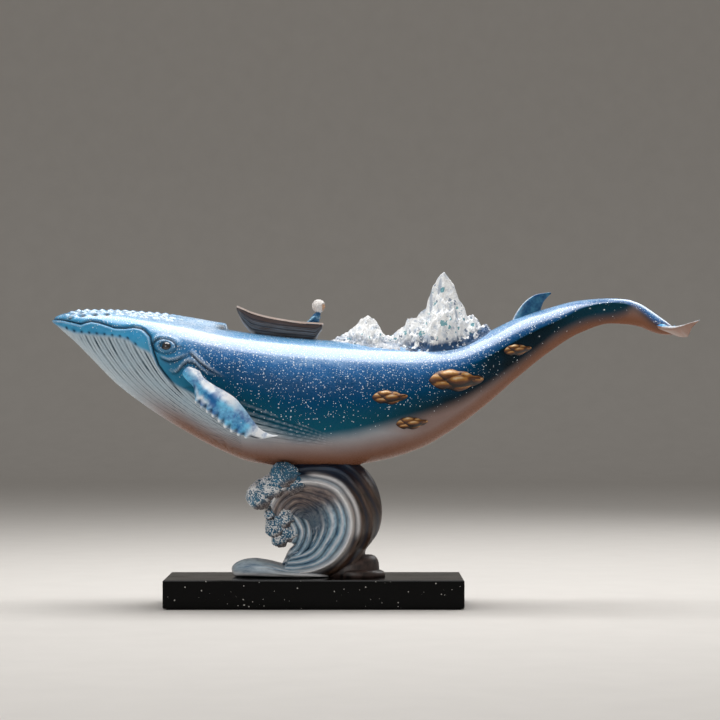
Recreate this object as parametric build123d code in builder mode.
"""Whale figurine: a long blue whale carried by a curling wave on a black stone plinth.

Millimetres, +Z up. The origin is the middle of the underside. The head points to -X,
the tail to +X, and the whale's left flank faces -Y.
"""

import math
import os

from build123d import *

# Plinth, felt and bolts
PLINTH_LENGTH = 255.0
PLINTH_DEPTH = 100.0
PLINTH_HEIGHT = 24.0
PLINTH_EDGE = 0.8
FELT_THICKNESS = 1.0
FELT_INSET = 3.0
BOLT_DIAMETER = 6.0
BOLT_HEAD_DIAMETER = 11.0
BOLT_HEAD_HEIGHT = 5.0
BOLT_SPACING = 56.0
BOLT_MIDDLE_X = 6.0
BOLT_GRIP = 10.0
COUNTERBORE_DEPTH = 8.0

# Support rod between the wave and the belly
ROD_X = 20.0
ROD_DIAMETER = 8.0
ROD_IN_WAVE = 32.0
ROD_IN_WHALE = 30.0

# Whale body
WHALE_LENGTH = 508.0
BODY_DEPTH = 112.0
BODY_WIDTH = 101.0
BELLY_RISE = 94.0
CREST_RISE = 5.0
CREST_WIDTH = 22.0
PLEAT_COUNT = 15
PLEAT_PITCH = 7.0
PLEAT_WIDTH = 2.4
MOUTH_WIDTH = 2.2
GROOVE_DEPTH = 1.6

# Fins and tail
PECTORAL_LENGTH = 92.0
PECTORAL_CHORD = 25.0
PECTORAL_THICKNESS = 7.0
PECTORAL_KNOB = 4.0
DORSAL_LENGTH = 26.0
DORSAL_HEIGHT = 24.0
DORSAL_THICKNESS = 7.0
DORSAL_PEG_DIAMETER = 3.5
FLUKE_SPAN = 156.0
FLUKE_LENGTH = 41.5
FLUKE_DROP = 14.0
FLUKE_THICKNESS = 12.0
FIN_PEG_DIAMETER = 6.0
FIN_PEG_LENGTH = 10.0
EYE_DIAMETER = 9.0
EYE_PROUD = 2.4

# Gold clouds
FRONT_CLOUD_LENGTH = 30.0
LOW_CLOUD_LENGTH = 27.0
LARGE_CLOUD_LENGTH = 47.0
REAR_CLOUD_LENGTH = 26.0
CLOUD_PROUD = 5.0
CLOUD_PEG_DIAMETER = 4.0
CLOUD_PEG_LENGTH = 7.0

# Boat and child
BOAT_LENGTH = 75.0
BOAT_BEAM = 25.0
BOAT_HEIGHT = 16.0
BOAT_WALL = 1.4
BOAT_FLOOR = 1.8
BOAT_SINK = 1.0
RAIL_WIDTH = 2.2
RAIL_HEIGHT = 1.4
THWART_WIDTH = 6.0
STERN_THWART_WIDTH = 13.0
THWART_THICKNESS = 1.6
CHILD_HEIGHT = 20.0
CHILD_WIDTH = 12.0
HEAD_DIAMETER = 11.5

# Snow mountain
MOUNTAIN_HEIGHT = 62.5
MOUNTAIN_LENGTH = 140.0
MOUNTAIN_DEPTH = 46.0
MOUNTAIN_SINK = 16.0

# Wave
WAVE_LENGTH = 132.0
WAVE_DEPTH = 56.0
WAVE_WEB = 18.0
WAVE_EDGE = 16.0
WAVE_TOP_OVERLAP = 12.0
LIP_RADIUS = 46.0
BARREL_FALL = 16.0
BACK_FALL = 34.0
FLOW_RIBS = 5
FLOW_RIB_RISE = 1.2
WAVELET_DEPTH = 38.0
UPPER_FOAM_DEPTH = 62.0
LOWER_FOAM_DEPTH = 46.0

# Fits
FIT_CLEARANCE = 0.1
OVERRUN = 4.0

# Places of the pieces, as shares of the sizes that they follow
SEAT_SHARE = 0.486
EYE_PLACE_SHARES = (0.2005, 0.929)
PECTORAL_ROOT_SHARES = (0.243, 0.688)
PECTORAL_REACH_SHARES = (0.80, -0.27, -0.54)
DORSAL_PLACE_SHARE = 0.783
BOAT_PLACE_SHARE = 0.314
MOUNTAIN_PLACE_SHARE = 0.475
CREST_PLACE_SHARES = (0.06, 0.296)
BARREL_CENTRE_SHARES = (0.465, 0.47)
WAVE_START_SHARE = -0.28

# Body stations: along, crown, belly and half width, then the level of the widest line and the fullness
BODY_STATION_SHARES = [
    (0.002, 1.152, 1.119, 0.045, 0.50, 2.0),
    (0.016, 1.181, 1.060, 0.119, 0.54, 2.0),
    (0.038, 1.198, 0.972, 0.178, 0.58, 2.0),
    (0.069, 1.208, 0.830, 0.243, 0.60, 2.0),
    (0.109, 1.205, 0.648, 0.312, 0.59, 2.0),
    (0.156, 1.180, 0.484, 0.381, 0.57, 2.05),
    (0.215, 1.140, 0.311, 0.441, 0.55, 2.1),
    (0.282, 1.078, 0.144, 0.480, 0.53, 2.1),
    (0.345, 1.033, 0.036, 0.495, 0.52, 2.1),
    (0.416, 1.003, 0.003, 0.500, 0.52, 2.1),
    (0.486, 0.975, 0.003, 0.490, 0.52, 2.1),
    (0.557, 0.954, 0.051, 0.460, 0.53, 2.05),
    (0.624, 0.945, 0.142, 0.416, 0.55, 2.0),
    (0.683, 0.959, 0.294, 0.361, 0.57, 1.95),
    (0.738, 1.040, 0.480, 0.297, 0.59, 1.9),
    (0.793, 1.156, 0.696, 0.233, 0.61, 1.85),
    (0.848, 1.234, 0.895, 0.178, 0.64, 1.8),
    (0.900, 1.289, 1.040, 0.139, 0.68, 1.8),
    (0.951, 1.305, 1.110, 0.119, 0.72, 1.8),
    (1.000, 1.276, 1.090, 0.114, 0.66, 1.8),
]
SECTION_POINTS = 16

# Mouth line: along and up the body
MOUTH_SHARES = [
    (0.0230, 1.137),
    (0.0405, 1.117),
    (0.0529, 1.104),
    (0.0704, 1.128),
    (0.0844, 1.117),
    (0.1017, 1.092),
    (0.1210, 1.072),
    (0.1443, 1.081),
    (0.1600, 1.062),
    (0.1728, 1.006),
    (0.1762, 0.937),
    (0.1807, 0.871),
    (0.1876, 0.785),
    (0.1978, 0.720),
]

# Throat: where the first pleat leaves the jaw, how the jaw falls, the sweep of a pleat, and the pleated skin
PLEAT_START_SHARES = (0.0415, 1.045)
PLEAT_JAW_FALL_SHARE = 0.2
PLEAT_SWEEP_SHARES = (0.5, 0.263, 0.866)
PLEAT_DROP_SHARES = [-0.04, 0.12, 0.28, 0.44, 0.58, 0.70, 0.80, 0.88, 0.95]
THROAT_SHARES = [
    (0.0293, 1.067),
    (0.0569, 1.035),
    (0.0903, 1.019),
    (0.1334, 0.988),
    (0.1549, 0.922),
    (0.1730, 0.884),
    (0.1866, 0.778),
    (0.2067, 0.671),
    (0.2403, 0.580),
    (0.2825, 0.536),
    (0.3242, 0.521),
    (0.3740, 0.407),
    (0.3974, 0.348),
    (0.3974, -0.080),
    (0.0293, -0.080),
]
THROAT_CORE_STATIONS = 12
THROAT_CORE_LEAST_SHARE = 0.6

# Crest of the head: place along the crest, rise and width
CREST_STATION_SHARES = [(0.0, 0.1, 0.35), (0.3, 0.5, 0.65), (0.65, 0.8, 0.9), (1.0, 1.0, 1.0)]

# Pectoral fin: place along the fin, chord and thickness, and the knobs on its leading edge
PECTORAL_STATION_SHARES = [
    (-0.10, 0.80, 1.10),
    (0.10, 1.00, 1.00),
    (0.32, 1.00, 0.80),
    (0.58, 0.90, 0.62),
    (0.80, 0.66, 0.46),
    (0.94, 0.36, 0.32),
    (1.00, 0.12, 0.16),
]
PECTORAL_BOW_SHARE = 0.10
PECTORAL_KNOB_SHARES = [(0.30, 0.47), (0.42, 0.46), (0.54, 0.43), (0.66, 0.37), (0.77, 0.31), (0.87, 0.23)]

# Dorsal fin: height, leading edge, trailing edge and thickness
DORSAL_STATION_SHARES = [
    (-0.30, -0.05, 0.98, 1.00),
    (0.30, 0.17, 0.97, 0.80),
    (0.60, 0.37, 1.06, 0.60),
    (0.82, 0.61, 1.21, 0.42),
    (0.94, 0.84, 1.30, 0.28),
    (1.00, 1.05, 1.33, 0.12),
]

# Fluke lobe: place out from the middle, edges along X, levels of both edges, and thickness
FLUKE_STATION_SHARES = [
    (0.00, -0.10, 0.55, 0.16, -1.10, 1.00),
    (0.16, 0.05, 0.60, -0.12, -1.28, 0.80),
    (0.33, 0.25, 0.67, -0.62, -1.40, 0.58),
    (0.58, 0.46, 0.83, -0.96, -1.50, 0.42),
    (0.80, 0.73, 0.90, -0.76, -1.22, 0.28),
    (1.00, 0.98, 1.00, -0.55, -0.60, 0.10),
]
FLUKE_ROOT_SHARES = [(0.30, 0.85, 0.62, -0.52), (0.58, 0.80, 0.22, -1.08)]

# Clouds: place along the body and up it, and the puffs of one cloud (along, up, spread and rise)
FRONT_CLOUD_SHARES = (0.5725, 0.541)
LOW_CLOUD_SHARES = (0.611, 0.343)
LARGE_CLOUD_SHARES = (0.685, 0.670)
REAR_CLOUD_SHARES = (0.791, 0.908)
CLOUD_PUFF_SHARES = [
    (-0.36, -0.02, 0.13, 0.60),
    (-0.19, 0.07, 0.17, 0.85),
    (0.04, 0.08, 0.18, 1.00),
    (0.24, 0.02, 0.15, 0.80),
    (0.39, -0.03, 0.10, 0.50),
    (0.00, -0.10, 0.15, 0.80),
]

# Boat: place along, half beams at rail and floor, levels of keel and rail above the back
BOAT_STATION_SHARES = [
    (0.00, 0.02, 0.01, 1.19, 1.34),
    (0.05, 0.08, 0.02, 0.70, 1.29),
    (0.11, 0.18, 0.06, 0.33, 1.20),
    (0.19, 0.28, 0.12, 0.03, 1.10),
    (0.35, 0.42, 0.24, 0.00, 0.97),
    (0.55, 0.50, 0.32, 0.00, 0.88),
    (0.75, 0.49, 0.32, 0.00, 0.83),
    (0.90, 0.44, 0.29, 0.00, 0.85),
    (0.95, 0.42, 0.33, 0.38, 0.855),
    (1.00, 0.39, 0.37, 0.76, 0.86),
]
BOAT_INSIDE_SHARES = (0.11, 0.95)
STRAKE_SHARES = [(0.33, 0.58), (0.67, 0.86)]
THWART_PLACE_SHARE = 0.48
THWART_LEVEL_SHARE = 0.60
STERN_THWART_PLACE_SHARE = 0.80
STERN_THWART_LEVEL_SHARE = 0.48

# Child: height, lean towards the stern, half depth and half width of the coat
CHILD_STATION_SHARES = [
    (0.00, 0.00, 0.40, 0.42),
    (0.30, 0.08, 0.40, 0.44),
    (0.60, 0.28, 0.32, 0.42),
    (0.80, 0.42, 0.16, 0.20),
    (0.92, 0.50, 0.13, 0.13),
]
CHILD_PLACE_SHARE = 0.865
CHILD_ARM_SHARES = [(0.62, 0.25, 0.34), (0.36, -0.20, 0.40), (0.24, -0.52, 0.20)]
CHILD_ARM_DIAMETER_SHARE = 0.26

# Mountain: place along, height of the ridge above the back, half depth, and how far the ridge wanders
MOUNTAIN_STATION_SHARES = [
    (0.000, 0.03, 0.10, 0.00),
    (0.085, 0.11, 0.24, -0.06),
    (0.165, 0.25, 0.30, 0.05),
    (0.205, 0.32, 0.34, -0.04),
    (0.245, 0.39, 0.30, 0.02),
    (0.290, 0.29, 0.34, -0.06),
    (0.330, 0.16, 0.28, 0.06),
    (0.375, 0.12, 0.30, -0.03),
    (0.435, 0.22, 0.36, 0.07),
    (0.480, 0.35, 0.34, -0.05),
    (0.540, 0.38, 0.42, 0.06),
    (0.595, 0.49, 0.38, -0.05),
    (0.625, 0.70, 0.46, 0.04),
    (0.665, 0.87, 0.42, -0.03),
    (0.700, 1.00, 0.50, 0.00),
    (0.730, 0.92, 0.42, 0.05),
    (0.765, 0.75, 0.46, -0.05),
    (0.800, 0.52, 0.36, 0.04),
    (0.840, 0.31, 0.38, -0.06),
    (0.885, 0.33, 0.28, 0.03),
    (0.925, 0.16, 0.26, -0.04),
    (1.000, 0.04, 0.10, 0.00),
]
FLANK_SHARES = [(1.0, 0.0), (0.66, 0.27), (0.40, 0.48), (0.20, 0.76)]
CRAG_SHARE = 0.16

# Wave outline from the toe, over the crest and down the back to the foot
WAVE_TOE_SHARES = [(0.035, 0.0), (0.0, 0.08), (0.05, 0.155), (0.13, 0.165), (0.275, 0.135)]
WAVE_MOUTH_SHARES = [
    (0.275, 0.135),
    (0.45, 0.14),
    (0.60, 0.18),
    (0.625, 0.34),
    (0.54, 0.50),
    (0.42, 0.58),
    (0.32, 0.68),
    (0.20, 0.76),
]
WAVE_CREST_SHARES = [(0.20, 0.76), (0.21, 0.87), (0.27, 0.97)]
WAVE_BACK_SHARES = [
    (0.825, 1.02),
    (0.882, 0.94),
    (0.935, 0.82),
    (0.975, 0.69),
    (0.982, 0.57),
    (0.957, 0.45),
    (0.897, 0.30),
    (0.872, 0.225),
    (0.93, 0.20),
    (0.995, 0.08),
    (0.99, 0.0),
]
WAVELET_SHARES = [
    (0.280, 0.06),
    (0.345, 0.17),
    (0.420, 0.235),
    (0.455, 0.31),
    (0.420, 0.365),
    (0.330, 0.365),
    (0.290, 0.42),
    (0.330, 0.48),
    (0.420, 0.49),
    (0.500, 0.43),
    (0.555, 0.32),
    (0.560, 0.20),
    (0.550, 0.06),
]

# Foam lumps: place along the wave, height, place across and size
UPPER_FOAM_SHARES = [
    (0.155, 0.750, 0.00, 0.36),
    (0.165, 0.740, 0.22, 0.30),
    (0.170, 0.730, -0.20, 0.30),
    (0.205, 0.860, 0.18, 0.38),
    (0.210, 0.850, -0.20, 0.38),
    (0.235, 0.770, 0.34, 0.32),
    (0.230, 0.780, -0.33, 0.32),
    (0.290, 0.960, 0.26, 0.40),
    (0.295, 0.950, -0.25, 0.40),
    (0.340, 0.850, 0.37, 0.30),
    (0.335, 0.860, -0.36, 0.30),
    (0.270, 0.890, 0.02, 0.42),
]
LOWER_FOAM_SHARES = [
    (0.275, 0.530, 0.00, 0.36),
    (0.265, 0.460, 0.18, 0.32),
    (0.260, 0.470, -0.17, 0.32),
    (0.315, 0.560, 0.22, 0.34),
    (0.310, 0.570, -0.23, 0.34),
    (0.295, 0.390, 0.21, 0.32),
    (0.290, 0.400, -0.20, 0.32),
    (0.300, 0.330, 0.02, 0.30),
    (0.370, 0.470, 0.35, 0.32),
    (0.365, 0.480, -0.36, 0.32),
]

# Levels that everything stands on
PLINTH_TOP = FELT_THICKNESS + PLINTH_HEIGHT
BELLY_LEVEL = PLINTH_TOP + BELLY_RISE
WAVE_START_X = WAVE_START_SHARE * PLINTH_LENGTH


def body_x(share):
    """Place along the whale, from the snout at 0 to the end of the tail stock at 1."""
    return ROD_X + (share - SEAT_SHARE) * WHALE_LENGTH


def body_z(share):
    """Height on the whale, from the lowest line of the belly at 0."""
    return BELLY_LEVEL + share * BODY_DEPTH


def body_section(crown, belly, half_width, widest, fullness, depth=0):
    """Points round one cross-section of the body, or of its core at a depth, starting at the crown."""
    top = body_z(crown)
    bottom = body_z(belly)
    middle = bottom + (top - bottom) * widest
    points = []
    for step in range(SECTION_POINTS):
        angle = 2 * math.pi * step / SECTION_POINTS
        out = math.copysign(abs(math.sin(angle)) ** (2 / fullness), math.sin(angle))
        up = math.copysign(abs(math.cos(angle)) ** (2 / fullness), math.cos(angle))
        reach = top - middle if up > 0 else middle - bottom
        width = half_width * BODY_WIDTH
        core_reach = max(reach - depth, THROAT_CORE_LEAST_SHARE * reach)
        core_width = max(width - depth, THROAT_CORE_LEAST_SHARE * width)
        points.append((core_width * out, middle + core_reach * up))
    return points


def ribbon(points, width):
    """Both edges of a band that follows a line, half its width to each side."""
    edges = ([], [])
    for number, point in enumerate(points):
        ahead = Vector(*points[min(number + 1, len(points) - 1)])
        behind = Vector(*points[max(number - 1, 0)])
        way = (ahead - behind).normalized()
        for edge, side in zip(edges, (1, -1)):
            edge.append(Vector(*point) + Vector(-way.Y, way.X) * (side * width / 2))
    return edges


def pleat_line(number):
    """Points of one throat pleat in the side view, from the jaw down and back along the belly."""
    start_x = body_x(PLEAT_START_SHARES[0]) + number * PLEAT_PITCH
    start_z = body_z(PLEAT_START_SHARES[1]) - number * PLEAT_PITCH * PLEAT_JAW_FALL_SHARE
    points = []
    for drop in PLEAT_DROP_SHARES:
        sweep = sum(share * drop ** (power + 1) for power, share in enumerate(PLEAT_SWEEP_SHARES))
        points.append((start_x + sweep * BODY_DEPTH, start_z - drop * BODY_DEPTH))
    return points


os.makedirs("parts", exist_ok=True)

# Whale body before its sockets are cut
with BuildPart() as whale_form:
    for station in BODY_STATION_SHARES:
        with BuildSketch(Plane.YZ.offset(body_x(station[0]))):
            with BuildLine():
                Spline(*body_section(*station[1:]), periodic=True)
            make_face()
    loft()


def left_skin(x, z):
    """Plane on the left flank, facing out, at a place along the whale and a height."""
    hits = whale_form.part.find_intersection_points(Axis((x, 0, z), (0, -1, 0)))
    point, normal = max(hits, key=lambda hit: -hit[0].Y)
    if normal.Y > 0:
        normal = -normal
    return Plane(origin=point, x_dir=Vector(1, 0, 0) - normal * normal.X, z_dir=normal)


def crown_height(x):
    """Height of the whale's back at a place along it."""
    hits = whale_form.part.find_intersection_points(Axis((x, 0, BELLY_LEVEL), (0, 0, 1)))
    return max(hit[0].Z for hit in hits)


def mirrored(plane):
    """The same plane on the right flank."""
    return Plane(
        origin=(plane.origin.X, -plane.origin.Y, plane.origin.Z),
        x_dir=(plane.x_dir.X, -plane.x_dir.Y, plane.x_dir.Z),
        z_dir=(plane.z_dir.X, -plane.z_dir.Y, plane.z_dir.Z),
    )


def lens_arcs(lead, trail, thickness):
    """Two arcs round a blade section between two edges, thickest in the middle."""
    lead_point = Vector(*lead)
    trail_point = Vector(*trail)
    middle = (lead_point + trail_point) / 2
    chord = (trail_point - lead_point).normalized()
    swell = Vector(-chord.Y, chord.X) * (thickness / 2)
    return [(lead_point, middle + swell, trail_point), (trail_point, middle - swell, lead_point)]


# Places of the pegs that hold the small pieces
eye_plane = left_skin(body_x(EYE_PLACE_SHARES[0]), body_z(EYE_PLACE_SHARES[1]))
pectoral_plane = left_skin(body_x(PECTORAL_ROOT_SHARES[0]), body_z(PECTORAL_ROOT_SHARES[1]))
dorsal_x = body_x(DORSAL_PLACE_SHARE)
dorsal_plane = Plane(origin=(dorsal_x + DORSAL_LENGTH / 2, 0, crown_height(dorsal_x + DORSAL_LENGTH / 2)))
tail_x = body_x(BODY_STATION_SHARES[-1][0])
tail_z = body_z((BODY_STATION_SHARES[-1][1] + BODY_STATION_SHARES[-1][2]) / 2)
tail_plane = Plane(origin=(tail_x, 0, tail_z), x_dir=(0, 1, 0), z_dir=(1, 0, 0))
CLOUDS = {
    "front": (FRONT_CLOUD_SHARES, FRONT_CLOUD_LENGTH),
    "low": (LOW_CLOUD_SHARES, LOW_CLOUD_LENGTH),
    "large": (LARGE_CLOUD_SHARES, LARGE_CLOUD_LENGTH),
    "rear": (REAR_CLOUD_SHARES, REAR_CLOUD_LENGTH),
}
cloud_planes = {}
for cloud, (place, length) in CLOUDS.items():
    cloud_planes[cloud] = left_skin(body_x(place[0]), body_z(place[1]))
fin_sockets = [pectoral_plane, mirrored(pectoral_plane), tail_plane]
cloud_sockets = list(cloud_planes.values()) + [mirrored(plane) for plane in cloud_planes.values()]
eye_sink = EYE_DIAMETER / 2 - EYE_PROUD

# Core of the head, which the mouth and the pleats are cut down to
with BuildPart() as throat_core:
    for station in BODY_STATION_SHARES[:THROAT_CORE_STATIONS]:
        with BuildSketch(Plane.YZ.offset(body_x(station[0]))):
            with BuildLine():
                Spline(*body_section(*station[1:], depth=GROOVE_DEPTH), periodic=True)
            make_face()
    loft()

# Throat pleats and mouth line, as bands of the side view outside that core
with BuildPart() as head_grooves:
    with BuildSketch(Plane.XZ):
        for number in range(PLEAT_COUNT):
            near_edge, far_edge = ribbon(pleat_line(number), PLEAT_WIDTH)
            with BuildLine():
                Spline(*near_edge)
                Line(near_edge[-1], far_edge[-1])
                Spline(*reversed(far_edge))
                Line(far_edge[0], near_edge[0])
            make_face()
        with BuildLine():
            Polyline(*[(body_x(along), body_z(up)) for along, up in THROAT_SHARES], close=True)
        make_face(mode=Mode.INTERSECT)
        near_edge, far_edge = ribbon([(body_x(along), body_z(up)) for along, up in MOUTH_SHARES], MOUTH_WIDTH)
        with BuildLine():
            Spline(*near_edge)
            Line(near_edge[-1], far_edge[-1])
            Spline(*reversed(far_edge))
            Line(far_edge[0], near_edge[0])
        make_face()
    extrude(amount=BODY_WIDTH, both=True)
    add(throat_core.part, mode=Mode.SUBTRACT)

# Whale body with its grooves, the raised crest of the head, and its sockets
with BuildPart() as whale_body:
    add(whale_form.part)
    add(head_grooves.part, mode=Mode.SUBTRACT)
    crest_start = body_x(CREST_PLACE_SHARES[0])
    crest_length = body_x(CREST_PLACE_SHARES[1]) - crest_start
    for along, rise, width in CREST_STATION_SHARES:
        crest_x = crest_start + along * crest_length
        with BuildSketch(Plane.YZ.offset(crest_x)):
            with Locations((0, crown_height(crest_x) - CREST_RISE)):
                Ellipse(width * CREST_WIDTH / 2, CREST_RISE + rise * CREST_RISE)
    loft()
    for plane in fin_sockets:
        with BuildSketch(plane.offset(OVERRUN)):
            Circle(FIN_PEG_DIAMETER / 2 + FIT_CLEARANCE)
        extrude(amount=-(OVERRUN + FIN_PEG_LENGTH + FIT_CLEARANCE), mode=Mode.SUBTRACT)
    with BuildSketch(dorsal_plane.offset(OVERRUN)):
        Circle(DORSAL_PEG_DIAMETER / 2 + FIT_CLEARANCE)
    extrude(amount=-(OVERRUN + FIN_PEG_LENGTH + FIT_CLEARANCE), mode=Mode.SUBTRACT)
    for plane in cloud_sockets:
        with BuildSketch(plane.offset(OVERRUN)):
            Circle(CLOUD_PEG_DIAMETER / 2 + FIT_CLEARANCE)
        extrude(amount=-(OVERRUN + CLOUD_PEG_LENGTH + FIT_CLEARANCE), mode=Mode.SUBTRACT)
    for plane in (eye_plane, mirrored(eye_plane)):
        with Locations(plane.offset(-eye_sink)):
            Sphere(EYE_DIAMETER / 2 + FIT_CLEARANCE, mode=Mode.SUBTRACT)
    with BuildSketch(Plane((ROD_X, 0, BELLY_LEVEL - OVERRUN))):
        Circle(ROD_DIAMETER / 2 + FIT_CLEARANCE)
    extrude(amount=OVERRUN + ROD_IN_WHALE + FIT_CLEARANCE, mode=Mode.SUBTRACT)
whale_body.part.label = "whale_body"
export_step(whale_body.part, "parts/whale_body.step")

# Eyes
for side, plane in (("left", eye_plane), ("right", mirrored(eye_plane))):
    with BuildPart() as eye:
        with Locations(plane.offset(-eye_sink)):
            Sphere(EYE_DIAMETER / 2)
    eye.part.label = f"{side}_eye"
    export_step(eye.part, f"parts/{side}_eye.step")

# Pectoral fins, swept back along the flanks, with knobs on the leading edge
with BuildPart() as left_pectoral_fin:
    root = pectoral_plane.origin
    reach = Vector(*PECTORAL_REACH_SHARES).normalized()
    chord_way = reach.cross(pectoral_plane.z_dir).normalized()
    bow_way = chord_way.cross(reach).normalized()
    if bow_way.Y > 0:
        bow_way = -bow_way
    for along, chord, thickness in PECTORAL_STATION_SHARES:
        bow = PECTORAL_BOW_SHARE * PECTORAL_LENGTH * math.sin(math.pi * max(along, 0))
        centre = root + reach * (along * PECTORAL_LENGTH) + bow_way * bow
        with BuildSketch(Plane(origin=centre, x_dir=chord_way, z_dir=reach)):
            Ellipse(chord * PECTORAL_CHORD / 2, thickness * PECTORAL_THICKNESS / 2)
    loft()
    for along, out in PECTORAL_KNOB_SHARES:
        bow = PECTORAL_BOW_SHARE * PECTORAL_LENGTH * math.sin(math.pi * along)
        lead = -1 if chord_way.Z > 0 else 1
        knob_out = chord_way * (lead * out * PECTORAL_CHORD)
        knob = root + reach * (along * PECTORAL_LENGTH) + bow_way * bow + knob_out
        with Locations(knob):
            Sphere(PECTORAL_KNOB / 2)
    add(whale_form.part, mode=Mode.SUBTRACT)
    with BuildSketch(pectoral_plane.offset(PECTORAL_THICKNESS / 4)):
        Circle(FIN_PEG_DIAMETER / 2)
    extrude(amount=-(PECTORAL_THICKNESS / 4 + FIN_PEG_LENGTH))
left_pectoral_fin.part.label = "left_pectoral_fin"
export_step(left_pectoral_fin.part, "parts/left_pectoral_fin.step")

with BuildPart() as right_pectoral_fin:
    mirror(left_pectoral_fin.part, about=Plane.XZ)
right_pectoral_fin.part.label = "right_pectoral_fin"
export_step(right_pectoral_fin.part, "parts/right_pectoral_fin.step")

# Dorsal fin, hooked towards the tail
with BuildPart() as dorsal_fin:
    fin_base = crown_height(dorsal_x)
    for height, lead, trail, thickness in DORSAL_STATION_SHARES:
        lead_point = (dorsal_x + lead * DORSAL_LENGTH, 0)
        trail_point = (dorsal_x + trail * DORSAL_LENGTH, 0)
        with BuildSketch(Plane.XY.offset(fin_base + height * DORSAL_HEIGHT)):
            with BuildLine():
                for arc in lens_arcs(lead_point, trail_point, thickness * DORSAL_THICKNESS):
                    ThreePointArc(*arc)
            make_face()
    loft()
    add(whale_form.part, mode=Mode.SUBTRACT)
    with BuildSketch(dorsal_plane.offset(DORSAL_HEIGHT / 4)):
        Circle(DORSAL_PEG_DIAMETER / 2)
    extrude(amount=-(DORSAL_HEIGHT / 4 + FIN_PEG_LENGTH))
dorsal_fin.part.label = "dorsal_fin"
export_step(dorsal_fin.part, "parts/dorsal_fin.step")

# Tail fluke: a root that carries on the tail stock, two swept lobes and a tenon
with BuildPart() as tail_fluke:
    for out, lead, trail, lead_level, trail_level, thickness in FLUKE_STATION_SHARES:
        lead_point = (tail_x + lead * FLUKE_LENGTH, tail_z + lead_level * FLUKE_DROP)
        trail_point = (tail_x + trail * FLUKE_LENGTH, tail_z + trail_level * FLUKE_DROP)
        with BuildSketch(Plane.XZ.offset(out * FLUKE_SPAN / 2)):
            with BuildLine():
                for arc in lens_arcs(lead_point, trail_point, thickness * FLUKE_THICKNESS):
                    ThreePointArc(*arc)
            make_face()
    loft()
    mirror(about=Plane.XZ)
    with BuildSketch(Plane.YZ.offset(tail_x)):
        with BuildLine():
            Spline(*body_section(*BODY_STATION_SHARES[-1][1:]), periodic=True)
        make_face()
    for along, width, height, level in FLUKE_ROOT_SHARES:
        with BuildSketch(Plane.YZ.offset(tail_x + along * FLUKE_LENGTH)):
            with Locations((0, tail_z + level * FLUKE_DROP)):
                Ellipse(width * FLUKE_THICKNESS, height * FLUKE_THICKNESS)
    loft()
    add(whale_form.part, mode=Mode.SUBTRACT)
    with BuildSketch(tail_plane.offset(FIN_PEG_DIAMETER / 2)):
        Circle(FIN_PEG_DIAMETER / 2)
    extrude(amount=-(FIN_PEG_DIAMETER / 2 + FIN_PEG_LENGTH))
tail_fluke.part.label = "tail_fluke"
export_step(tail_fluke.part, "parts/tail_fluke.step")

# Gold clouds: puffs that follow the flank, cut to it, each with a peg
for cloud, (place, length) in CLOUDS.items():
    seat = cloud_planes[cloud]
    with BuildPart() as left_cloud:
        for along, up, spread, rise in CLOUD_PUFF_SHARES:
            puff = left_skin(seat.origin.X + along * length, seat.origin.Z + up * length)
            puff_half = spread * length
            proud = rise * CLOUD_PROUD
            puff_radius = (puff_half**2 + proud**2) / (2 * proud)
            with Locations(puff.offset(proud - puff_radius)):
                Sphere(puff_radius)
        add(whale_form.part, mode=Mode.SUBTRACT)
        with BuildSketch(seat.offset(CLOUD_PROUD / 2)):
            Circle(CLOUD_PEG_DIAMETER / 2)
        extrude(amount=-(CLOUD_PROUD / 2 + CLOUD_PEG_LENGTH))
    left_cloud.part.label = f"left_{cloud}_cloud"
    export_step(left_cloud.part, f"parts/left_{cloud}_cloud.step")
    with BuildPart() as right_cloud:
        mirror(left_cloud.part, about=Plane.XZ)
    right_cloud.part.label = f"right_{cloud}_cloud"
    export_step(right_cloud.part, f"parts/right_{cloud}_cloud.step")


def boat_outline(half_rail, half_floor, keel, rail):
    """Corners of a cross-section of the boat: flat floor and three strakes a side."""
    right_side = [(half_floor, keel)]
    for up, out in STRAKE_SHARES:
        right_side.append((half_floor + (half_rail - half_floor) * out, keel + (rail - keel) * up))
    right_side.append((half_rail, rail))
    return right_side + [(-y, z) for y, z in reversed(right_side)]


# Boat stations in real sizes, on the whale's back
boat_x = body_x(BOAT_PLACE_SHARE)
boat_stations = []
for along, half_rail, half_floor, keel, rail in BOAT_STATION_SHARES:
    x = boat_x + along * BOAT_LENGTH
    back = crown_height(x) - BOAT_SINK
    half_beams = (half_rail * BOAT_BEAM, half_floor * BOAT_BEAM)
    levels = (back + keel * BOAT_HEIGHT, back + rail * BOAT_HEIGHT)
    boat_stations.append((along, x, *half_beams, *levels))

# Boat hull, open at the top
with BuildPart() as boat_inside:
    for along, x, half_rail, half_floor, keel, rail in boat_stations:
        if BOAT_INSIDE_SHARES[0] <= along <= BOAT_INSIDE_SHARES[1]:
            corners = boat_outline(
                half_rail - BOAT_WALL,
                max(half_floor - BOAT_WALL, BOAT_WALL / 4),
                keel + BOAT_SINK + BOAT_FLOOR,
                rail + RAIL_HEIGHT,
            )
            with BuildSketch(Plane.YZ.offset(x)):
                with BuildLine():
                    Polyline(*corners, close=True)
                make_face()
    loft()

with BuildPart() as boat_hull:
    for along, x, half_rail, half_floor, keel, rail in boat_stations:
        with BuildSketch(Plane.YZ.offset(x)):
            with BuildLine():
                Polyline(*boat_outline(half_rail, half_floor, keel, rail), close=True)
            make_face()
    loft()
    add(boat_inside.part, mode=Mode.SUBTRACT)
    add(whale_form.part, mode=Mode.SUBTRACT)
boat_hull.part.label = "boat_hull"
export_step(boat_hull.part, "parts/boat_hull.step")

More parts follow.
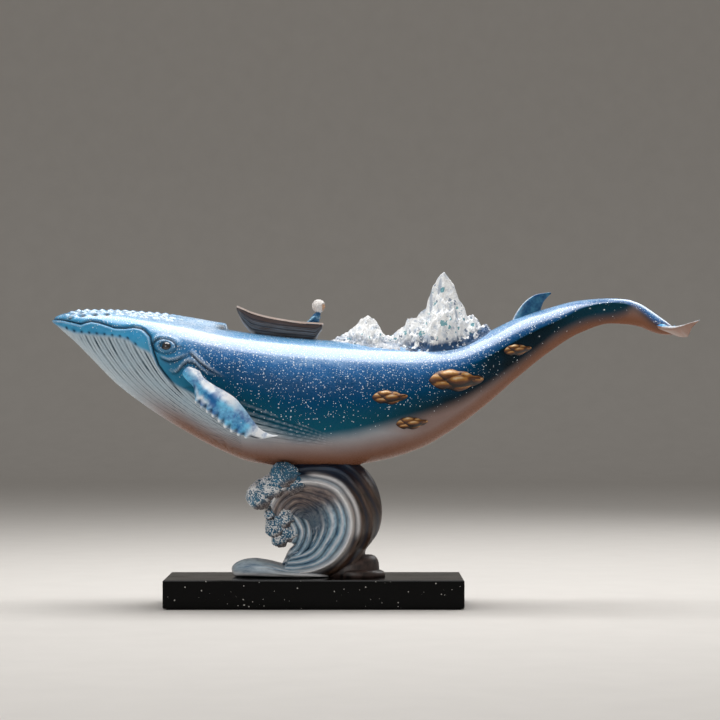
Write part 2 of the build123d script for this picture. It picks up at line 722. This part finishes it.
# Boat rail: a cap all round the top of the hull, open over the inside
rail_overhang = (RAIL_WIDTH - BOAT_WALL) / 2
with BuildPart() as boat_rail:
    for along, x, half_rail, half_floor, keel, rail in boat_stations:
        with BuildSketch(Plane.YZ.offset(x)):
            with Locations((0, rail + FIT_CLEARANCE + RAIL_HEIGHT / 2)):
                Rectangle(2 * (half_rail + rail_overhang), RAIL_HEIGHT)
    loft()
    for along, x, half_rail, half_floor, keel, rail in boat_stations:
        if BOAT_INSIDE_SHARES[0] <= along <= BOAT_INSIDE_SHARES[1]:
            with BuildSketch(Plane.YZ.offset(x)):
                with Locations((0, rail + RAIL_HEIGHT / 2)):
                    Rectangle(2 * (half_rail + rail_overhang - RAIL_WIDTH), RAIL_HEIGHT + 2 * OVERRUN)
    loft(mode=Mode.SUBTRACT)
boat_rail.part.label = "boat_rail"
export_step(boat_rail.part, "parts/boat_rail.step")

# Thwarts, cut to the inside of the hull
with BuildPart() as boat_thwarts:
    thwart_x = boat_x + THWART_PLACE_SHARE * BOAT_LENGTH
    stern_x = boat_x + STERN_THWART_PLACE_SHARE * BOAT_LENGTH
    thwart_top = crown_height(thwart_x) + THWART_LEVEL_SHARE * BOAT_HEIGHT
    stern_top = crown_height(stern_x) + STERN_THWART_LEVEL_SHARE * BOAT_HEIGHT
    with BuildSketch(Plane((thwart_x, 0, thwart_top))):
        Rectangle(THWART_WIDTH, BOAT_BEAM)
    extrude(amount=-THWART_THICKNESS)
    with BuildSketch(Plane((stern_x, 0, stern_top))):
        Rectangle(STERN_THWART_WIDTH, BOAT_BEAM)
    extrude(amount=-THWART_THICKNESS)
    add(boat_inside.part, mode=Mode.INTERSECT)
boat_thwarts.part.label = "boat_thwarts"
export_step(boat_thwarts.part, "parts/boat_thwarts.step")

# Child seated on the stern thwart
child_x = boat_x + CHILD_PLACE_SHARE * BOAT_LENGTH
with BuildPart() as child_coat:
    for height, lean, half_depth, half_width in CHILD_STATION_SHARES:
        with BuildSketch(Plane((child_x, 0, stern_top + height * CHILD_HEIGHT))):
            with Locations((lean * CHILD_WIDTH, 0)):
                Ellipse(half_depth * CHILD_WIDTH, half_width * CHILD_WIDTH)
    loft()
    for side in (1, -1):
        arm = [
            (child_x + lean * CHILD_WIDTH, side * out * CHILD_WIDTH, stern_top + height * CHILD_HEIGHT)
            for height, lean, out in CHILD_ARM_SHARES
        ]
        with BuildLine() as arm_line:
            Polyline(*arm)
        with BuildSketch(Plane(origin=arm_line.line @ 0, z_dir=arm_line.line % 0)):
            Circle(CHILD_ARM_DIAMETER_SHARE * CHILD_WIDTH / 2)
        sweep(path=arm_line.line, transition=Transition.ROUND)
    add(boat_hull.part, mode=Mode.SUBTRACT)
    add(boat_thwarts.part, mode=Mode.SUBTRACT)
child_coat.part.label = "child_coat"
export_step(child_coat.part, "parts/child_coat.step")

with BuildPart() as child_head:
    neck_lean = CHILD_STATION_SHARES[-1][1] * CHILD_WIDTH
    with Locations((child_x + neck_lean, 0, stern_top + CHILD_HEIGHT)):
        Sphere(HEAD_DIAMETER / 2)
    add(child_coat.part, mode=Mode.SUBTRACT)
child_head.part.label = "child_head"
export_step(child_head.part, "parts/child_head.step")

# Snow mountain: crags along a wandering ridge, cut to the back
mountain_x = body_x(MOUNTAIN_PLACE_SHARE)
with BuildPart() as snow_mountain:
    for number, (along, height, half_depth, wander) in enumerate(MOUNTAIN_STATION_SHARES):
        x = mountain_x + along * MOUNTAIN_LENGTH
        foot = crown_height(x)
        rise = height * MOUNTAIN_HEIGHT
        ridge_y = wander * MOUNTAIN_DEPTH
        reach = half_depth * MOUNTAIN_DEPTH
        flanks = {}
        for side in (-1, 1):
            flanks[side] = [(side * reach, foot - MOUNTAIN_SINK)]
            for step, (out, up) in enumerate(FLANK_SHARES):
                crag = 1 + CRAG_SHARE * (-1) ** (number + step + (side > 0))
                flanks[side].append((ridge_y + side * reach * out * crag, foot + rise * up))
        with BuildSketch(Plane.YZ.offset(x)):
            with BuildLine():
                Polyline(*flanks[-1], (ridge_y, foot + rise), *reversed(flanks[1]), close=True)
            make_face()
    loft(ruled=True)
    add(whale_form.part, mode=Mode.SUBTRACT)
snow_mountain.part.label = "snow_mountain"
export_step(snow_mountain.part, "parts/snow_mountain.step")


def wave_point(along, up):
    """Place on the side view of the wave."""
    return (WAVE_START_X + along * WAVE_LENGTH, PLINTH_TOP + up * BELLY_RISE)


def wave_half_thickness(radius):
    """Half thickness of the wave at a distance from the barrel's middle: web, lip, then back."""
    fall = BARREL_FALL if radius < LIP_RADIUS else BACK_FALL
    swell = math.exp(-(((radius - LIP_RADIUS) / fall) ** 2))
    core = WAVE_WEB if radius < LIP_RADIUS else WAVE_EDGE
    return (core + (WAVE_DEPTH - core) * swell) / 2


bolt_places = [BOLT_MIDDLE_X - BOLT_SPACING / 2, BOLT_MIDDLE_X + BOLT_SPACING / 2]
barrel_x, barrel_z = wave_point(*BARREL_CENTRE_SHARES)

# Wave before its bores: side outline, thinned to a web inside the barrel, ribbed along the flow
with BuildPart() as wave_form:
    with BuildSketch(Plane.XZ):
        with BuildLine():
            Spline(*[wave_point(*share) for share in WAVE_TOE_SHARES])
            Spline(*[wave_point(*share) for share in WAVE_MOUTH_SHARES])
            Spline(*[wave_point(*share) for share in WAVE_CREST_SHARES])
            crest_end = wave_point(*WAVE_CREST_SHARES[-1])
            back_start = wave_point(*WAVE_BACK_SHARES[0])
            top_level = BELLY_LEVEL + WAVE_TOP_OVERLAP
            Polyline(crest_end, (crest_end[0], top_level), (back_start[0], top_level), back_start)
            Spline(*[wave_point(*share) for share in WAVE_BACK_SHARES])
            Line(wave_point(*WAVE_BACK_SHARES[-1]), wave_point(*WAVE_TOE_SHARES[0]))
        make_face()
    extrude(amount=WAVE_DEPTH / 2, both=True)
    rib_pitch = LIP_RADIUS / FLOW_RIBS
    rib_count = math.ceil((WAVE_LENGTH - LIP_RADIUS) / rib_pitch) + 1
    rib_radii = [rib * rib_pitch for rib in range(rib_count + 1)]
    with BuildSketch(Plane((barrel_x, 0, barrel_z))):
        with BuildLine():
            for inner, outer in zip(rib_radii, rib_radii[1:]):
                middle = (inner + outer) / 2
                groove = (wave_half_thickness(inner) + wave_half_thickness(outer)) / 2 - FLOW_RIB_RISE
                for side in (1, -1):
                    ThreePointArc(
                        (inner, side * wave_half_thickness(inner)),
                        (middle, side * groove),
                        (outer, side * wave_half_thickness(outer)),
                    )
            for radius in (rib_radii[0], rib_radii[-1]):
                Line((radius, -wave_half_thickness(radius)), (radius, wave_half_thickness(radius)))
        make_face()
    revolve(axis=Axis((barrel_x, 0, barrel_z), (0, 1, 0)), mode=Mode.INTERSECT)
    add(whale_form.part, mode=Mode.SUBTRACT)

# Wave pedestal, bored for the bolts and the rod
with BuildPart() as wave_pedestal:
    add(wave_form.part)
    for bolt_x in bolt_places:
        with BuildSketch(Plane((bolt_x, 0, PLINTH_TOP))):
            Circle(BOLT_DIAMETER / 2 + FIT_CLEARANCE)
        extrude(amount=BOLT_GRIP + FIT_CLEARANCE, mode=Mode.SUBTRACT)
    with BuildSketch(Plane((ROD_X, 0, BELLY_LEVEL - ROD_IN_WAVE - FIT_CLEARANCE))):
        Circle(ROD_DIAMETER / 2 + FIT_CLEARANCE)
    extrude(amount=ROD_IN_WAVE + WAVE_TOP_OVERLAP, mode=Mode.SUBTRACT)
wave_pedestal.part.label = "wave_pedestal"
export_step(wave_pedestal.part, "parts/wave_pedestal.step")

# Foam crests, heaps of round lumps
with BuildPart() as upper_foam_crest:
    for along, up, across, size in UPPER_FOAM_SHARES:
        lump_x, lump_z = wave_point(along, up)
        with Locations((lump_x, across * UPPER_FOAM_DEPTH, lump_z)):
            Sphere(size * UPPER_FOAM_DEPTH / 2)
    add(wave_form.part, mode=Mode.SUBTRACT)
    add(whale_form.part, mode=Mode.SUBTRACT)
upper_foam_crest.part.label = "upper_foam_crest"
export_step(upper_foam_crest.part, "parts/upper_foam_crest.step")

with BuildPart() as lower_foam_crest:
    for along, up, across, size in LOWER_FOAM_SHARES:
        lump_x, lump_z = wave_point(along, up)
        with Locations((lump_x, across * LOWER_FOAM_DEPTH, lump_z)):
            Sphere(size * LOWER_FOAM_DEPTH / 2)
    add(wave_form.part, mode=Mode.SUBTRACT)
    add(upper_foam_crest.part, mode=Mode.SUBTRACT)
lower_foam_crest.part.label = "lower_foam_crest"
export_step(lower_foam_crest.part, "parts/lower_foam_crest.step")

# Wavelet in the mouth of the barrel
with BuildPart() as wavelet:
    with BuildSketch(Plane.XZ):
        with BuildLine():
            Spline(*[wave_point(*share) for share in WAVELET_SHARES])
            Line(wave_point(*WAVELET_SHARES[-1]), wave_point(*WAVELET_SHARES[0]))
        make_face()
    extrude(amount=WAVELET_DEPTH / 2, both=True)
    add(wave_form.part, mode=Mode.SUBTRACT)
    add(lower_foam_crest.part, mode=Mode.SUBTRACT)
wavelet.part.label = "wavelet"
export_step(wavelet.part, "parts/wavelet.step")

# Support rod from the wave into the belly
with BuildPart() as support_rod:
    with BuildSketch(Plane((ROD_X, 0, BELLY_LEVEL - ROD_IN_WAVE))):
        Circle(ROD_DIAMETER / 2)
    extrude(amount=ROD_IN_WAVE + ROD_IN_WHALE)
support_rod.part.label = "support_rod"
export_step(support_rod.part, "parts/support_rod.step")

# Plinth with counterbored holes from below
with BuildPart() as plinth:
    with BuildSketch(Plane.XY.offset(FELT_THICKNESS)):
        Rectangle(PLINTH_LENGTH, PLINTH_DEPTH)
    extrude(amount=PLINTH_HEIGHT)
    chamfer(plinth.edges(), length=PLINTH_EDGE)
    for bolt_x in bolt_places:
        with BuildSketch(Plane((bolt_x, 0, FELT_THICKNESS))):
            Circle(BOLT_DIAMETER / 2 + FIT_CLEARANCE)
        extrude(amount=PLINTH_HEIGHT, mode=Mode.SUBTRACT)
        with BuildSketch(Plane((bolt_x, 0, FELT_THICKNESS))):
            Circle(BOLT_HEAD_DIAMETER / 2 + FIT_CLEARANCE)
        extrude(amount=COUNTERBORE_DEPTH, mode=Mode.SUBTRACT)
plinth.part.label = "plinth"
export_step(plinth.part, "parts/plinth.step")

# Felt sheet under the plinth
with BuildPart() as base_felt:
    with BuildSketch():
        Rectangle(PLINTH_LENGTH - 2 * FELT_INSET, PLINTH_DEPTH - 2 * FELT_INSET)
    extrude(amount=FELT_THICKNESS)
base_felt.part.label = "base_felt"
export_step(base_felt.part, "parts/base_felt.step")

# Bolts that hold the wave on the plinth
with BuildPart() as pedestal_bolts:
    head_top = FELT_THICKNESS + COUNTERBORE_DEPTH
    for bolt_x in bolt_places:
        with BuildSketch(Plane((bolt_x, 0, head_top))):
            Circle(BOLT_HEAD_DIAMETER / 2)
        extrude(amount=-BOLT_HEAD_HEIGHT)
        with BuildSketch(Plane((bolt_x, 0, head_top))):
            Circle(BOLT_DIAMETER / 2)
        extrude(amount=PLINTH_TOP - head_top + BOLT_GRIP)
pedestal_bolts.part.label = "pedestal_bolts"
export_step(pedestal_bolts.part, "parts/pedestal_bolts.step")
